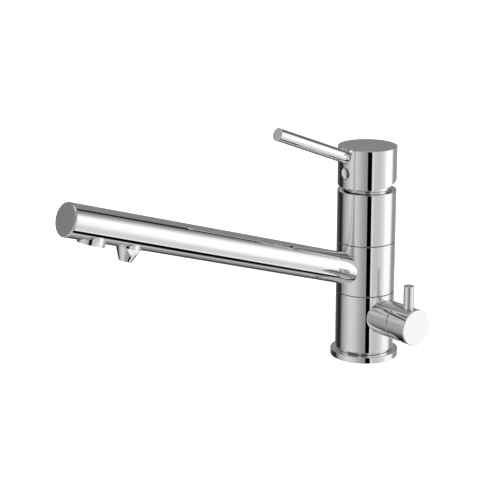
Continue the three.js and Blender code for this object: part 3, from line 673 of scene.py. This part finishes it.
studio = {
    "base": 0.245, "floorGlow": 0.53, "floorEdge": (-65, -58), "overhead": 0.9, "overheadEdge": (62, 74),
    "cards": [
        {"name": "leftUpper", "level": 0.17, "at": -85, "half": 32, "soft": 20, "low": 28, "lowSoft": 12,
         "high": 54, "highSoft": 14},
        {"name": "wallBehind", "level": 0.30, "at": -176, "half": 28, "soft": 20, "low": -40, "lowSoft": 20,
         "high": -2, "highSoft": 16},
        {"name": "leftShade", "level": 0.065, "at": -102, "half": 43, "soft": 18, "low": -60, "lowSoft": 8,
         "high": 6, "highSoft": 10},
        {"name": "floorLeft", "level": 0.27, "at": -120, "half": 48, "soft": 30, "low": -88, "lowSoft": 2,
         "high": -59, "highSoft": 6},
        {"name": "noseShade", "level": 0.19, "at": -55, "half": 10, "soft": 8, "low": 0, "lowSoft": 4,
         "high": 10, "highSoft": 4},
        {"name": "darkCorner", "level": 0.018, "at": -70, "half": 12, "soft": 22, "low": -30, "lowSoft": 20,
         "high": 4, "highSoft": 12},
        {"name": "lowLeft", "level": 0.0, "at": -92, "half": 14, "soft": 14, "low": -55, "lowSoft": 6,
         "high": -41, "highSoft": 8},
        {"name": "backGlow", "level": 0.57, "at": -134, "half": 22, "soft": 36, "low": -30, "lowSoft": 28,
         "high": 2, "highSoft": 14},
        {"name": "frontShade", "level": 0.30, "at": 46, "half": 42, "soft": 20, "low": -60, "lowSoft": 20,
         "high": 70, "highSoft": 20},
        {"name": "frontLight", "level": 0.66, "at": -7, "half": 30, "soft": 56, "low": -60, "lowSoft": 24,
         "high": 70, "highSoft": 20},
        {"name": "frontUpper", "level": 0.60, "at": -30, "half": 19, "soft": 16, "low": 9, "lowSoft": 14,
         "high": 25, "highSoft": 16},
        {"name": "frontDim", "level": 0.14, "at": 2, "half": 25, "soft": 8, "low": 15, "lowSoft": 10,
         "high": 44, "highSoft": 5},
        {"name": "sideDim", "level": 0.10, "at": 49, "half": 12, "soft": 6, "low": 2, "lowSoft": 6,
         "high": 46, "highSoft": 5},
        {"name": "rightFill", "level": 0.57, "at": 105, "half": 37, "soft": 3, "low": -55, "lowSoft": 4,
         "high": 40, "highSoft": 20},
        {"name": "edgeLight", "level": 0.72, "at": 71, "half": 4, "soft": 3, "low": -40, "lowSoft": 10,
         "high": 30, "highSoft": 20},
        {"name": "lowFill", "level": 0.69, "at": 130, "half": 26, "soft": 20, "low": -56, "lowSoft": 4,
         "high": -4, "highSoft": 20},
        {"name": "lowEdge", "level": 0.95, "at": 134, "half": 20, "soft": 10, "low": -58, "lowSoft": 2,
         "high": -49, "highSoft": 8},
        {"name": "keyLight", "level": 1.12, "at": 142, "half": 20, "soft": 22, "low": -22, "lowSoft": 24,
         "high": 25, "highSoft": 26},
        {"name": "blackFlag", "level": 0.0, "at": 50.2, "half": 8.2, "soft": 1.2, "low": -40, "lowSoft": 4,
         "high": 12, "highSoft": 6, "lean": -0.55},
        {"name": "rightDark", "level": 0.0, "at": 97, "half": 20, "soft": 6, "low": -62, "lowSoft": 4,
         "high": -37, "highSoft": 6},
        {"name": "blackCard", "level": 0.0, "at": 140, "half": 26, "soft": 24, "low": -68.6, "lowSoft": 4,
         "high": -54.3, "highSoft": 3},
        {"name": "darkStrip", "level": 0.01, "at": 199.5, "half": 7, "soft": 8, "low": 24, "lowSoft": 4,
         "high": 44, "highSoft": 6, "lean": -0.6},
    ],
}


def fringe(edge, soft):
    return edge - soft / 2, edge + soft / 2


def mixLevel(share, first, second):
    return share.wire("ShaderNodeMix", {"data_type": "FLOAT"}, {0: share, 2: first, 3: second})


def cardMask(card, azimuth, height):
    middle = height * card["lean"] + card["at"] if "lean" in card else card["at"]
    turn = abs(azimuth.maths("WRAP", azimuth - middle, 180, -180))
    mask = smoothStep(turn, *fringe(card["half"], card["soft"]), 1.0, 0.0)
    mask = mask * smoothStep(height, *fringe(card["low"], card["lowSoft"]))
    mask = mask * smoothStep(height, *fringe(card["high"], card["highSoft"]), 1.0, 0.0)
    mask.socket.node.label = card["name"]
    return mask


def makeStudio():
    world = bpy.data.worlds.new("studio")
    scene.world = world
    world.use_nodes = True
    tree = world.node_tree
    tree.nodes.clear()
    direction = addNode(tree, "ShaderNodeTexCoord")
    x = addNode(tree, "ShaderNodeSeparateXYZ", None, {0: direction})
    y = Signal(tree, x.socket.node.outputs[1])
    z = Signal(tree, x.socket.node.outputs[2])
    toDegrees = 180 / math.pi
    height = z.maths("ARCSINE", z) * toDegrees
    azimuth = x.maths("ARCTAN2", x, 0 - y) * toDegrees
    level = smoothStep(height, *studio["floorEdge"], studio["floorGlow"], studio["base"])
    for card in studio["cards"]:
        level = mixLevel(cardMask(card, azimuth, height), level, card["level"])
    level = mixLevel(smoothStep(height, *studio["overheadEdge"]), level, studio["overhead"])
    light = addNode(tree, "ShaderNodeBackground", None, {"Color": (1, 1, 1, 1), "Strength": level})
    addNode(tree, "ShaderNodeOutputWorld", None, {"Surface": light})


floorLook = {
    "size": 12.0, "drop": 0.2, "colour": (0.90, 0.90, 0.90, 1), "shade": (0.87, 0.87, 0.87, 1),
    "cloudScale": 3.0, "roughness": 0.8, "cloudRough": 0.1,
}


def makeFloor():
    look = floorLook
    bm = bmesh.new()
    bmesh.ops.create_grid(bm, x_segments=1, y_segments=1, size=look["size"] / 2)
    bmesh.ops.translate(bm, vec=(0, 0, -look["drop"] * mm), verts=bm.verts[:])
    material, tree = startMaterial("paleFloor")
    cloud = noiseAt(tree, objectPlace(tree), look["cloudScale"])
    colour = blendColours(tree, cloud, look["colour"], look["shade"])
    dull = look["roughness"] + cloud * look["cloudRough"]
    finishMaterial(tree, {"Base Color": colour, "Roughness": dull})
    floor = asObject("floor", bm, material)
    floor.visible_glossy = False


sun = {"energy": 5.0, "spread": 60, "tilt": (18, 12, 0)}


def makeSun():
    # even soft light for the floor and the dull pieces; the bright metal only sees the cards
    data = bpy.data.lights.new("softSun", "SUN")
    data.energy = sun["energy"]
    data.angle = math.radians(sun["spread"])
    data.use_shadow = False
    lamp = bpy.data.objects.new("softSun", data)
    lamp.rotation_euler = [math.radians(angle) for angle in sun["tilt"]]
    lamp.visible_glossy = False
    scene.collection.objects.link(lamp)


# focal is the focal length in pixels of the 480 pixel wide frame

shot = {
    "azimuth": 47.44913, "elevation": 15.9335, "distance": 1.4428628, "target": (0, 0, 0.09),
    "pan": -4.076217, "tilt": 0.182728, "roll": 1.158495,
    "focal": 1765.79325, "frameWidth": 480, "sensor": 36, "clip": (0.05, 50),
}


def makeCamera():
    s = shot
    azimuth, elevation = math.radians(s["azimuth"]), math.radians(s["elevation"])
    back = Vector((math.sin(azimuth) * math.cos(elevation),
                   -math.cos(azimuth) * math.cos(elevation), math.sin(elevation)))
    ahead = -back
    right = ahead.cross(Vector((0, 0, 1))).normalized()
    up = right.cross(ahead)
    pan, tilt, roll = math.radians(s["pan"]), math.radians(s["tilt"]), math.radians(s["roll"])
    ahead = ahead * math.cos(pan) + right * math.sin(pan)
    right = ahead.cross(up).normalized()
    ahead = ahead * math.cos(tilt) + up * math.sin(tilt)
    up = right.cross(ahead)
    right = right * math.cos(roll) + up * math.sin(roll)
    up = right.cross(ahead)
    data = bpy.data.cameras.new("camera")
    data.sensor_width = s["sensor"]
    data.lens = s["sensor"] * s["focal"] / s["frameWidth"]
    data.clip_start, data.clip_end = s["clip"]
    camera = bpy.data.objects.new("camera", data)
    scene.collection.objects.link(camera)
    turn = Matrix((right, up, -ahead)).transposed().to_4x4()
    camera.matrix_world = Matrix.Translation(Vector(s["target"]) + back * s["distance"]) @ turn
    scene.camera = camera


makeStudio()
makeFloor()
makeSun()
makeCamera()
scene.view_settings.view_transform = "Standard"
print("studio ready")
